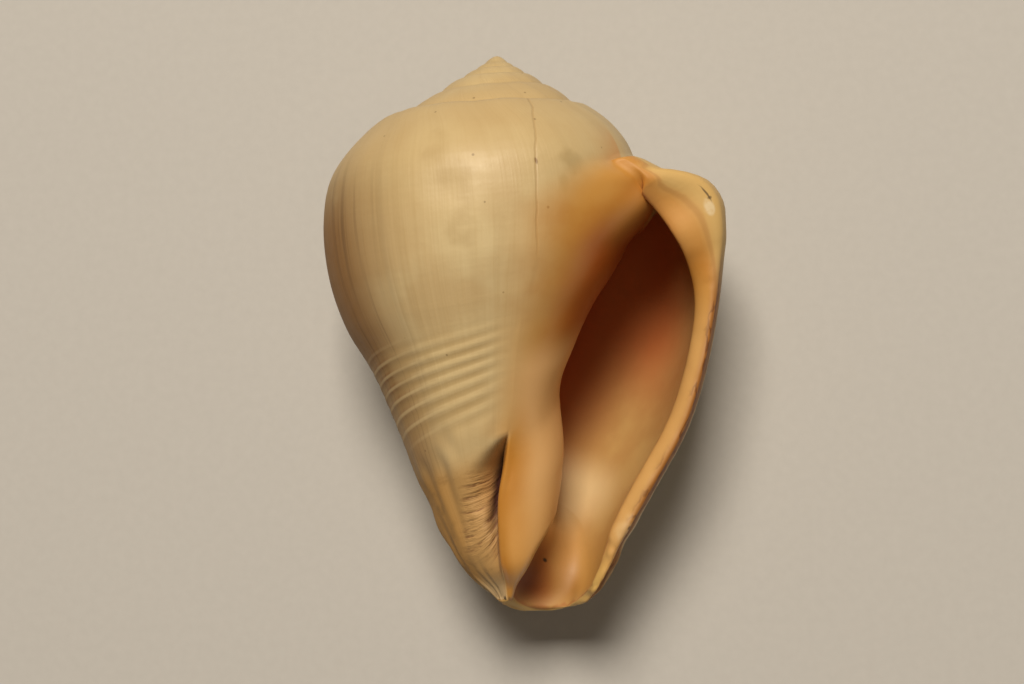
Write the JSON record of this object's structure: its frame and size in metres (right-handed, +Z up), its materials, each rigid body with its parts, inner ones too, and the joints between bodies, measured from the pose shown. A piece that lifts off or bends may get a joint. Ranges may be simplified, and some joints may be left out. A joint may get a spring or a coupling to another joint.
{
  "type": "crown conch shell",
  "caption": "Empty crown conch shell lying mouth up: low spire, broad last whorl with a smooth shoulder, long open aperture and short canal.",
  "frame": {"origin": "centre of the bounding box, on the floor the shell lies on", "axes": "+Y from the canal end toward the spire, +Z up out of the mouth, +X toward the outer lip"},
  "size_m": [0.0438, 0.06, 0.0393],
  "materials": {
    "worn_aragonite": "satin"
  },
  "bodies": {
    "root": {"shell": "worn_aragonite"}
  },
  "joints": []
}
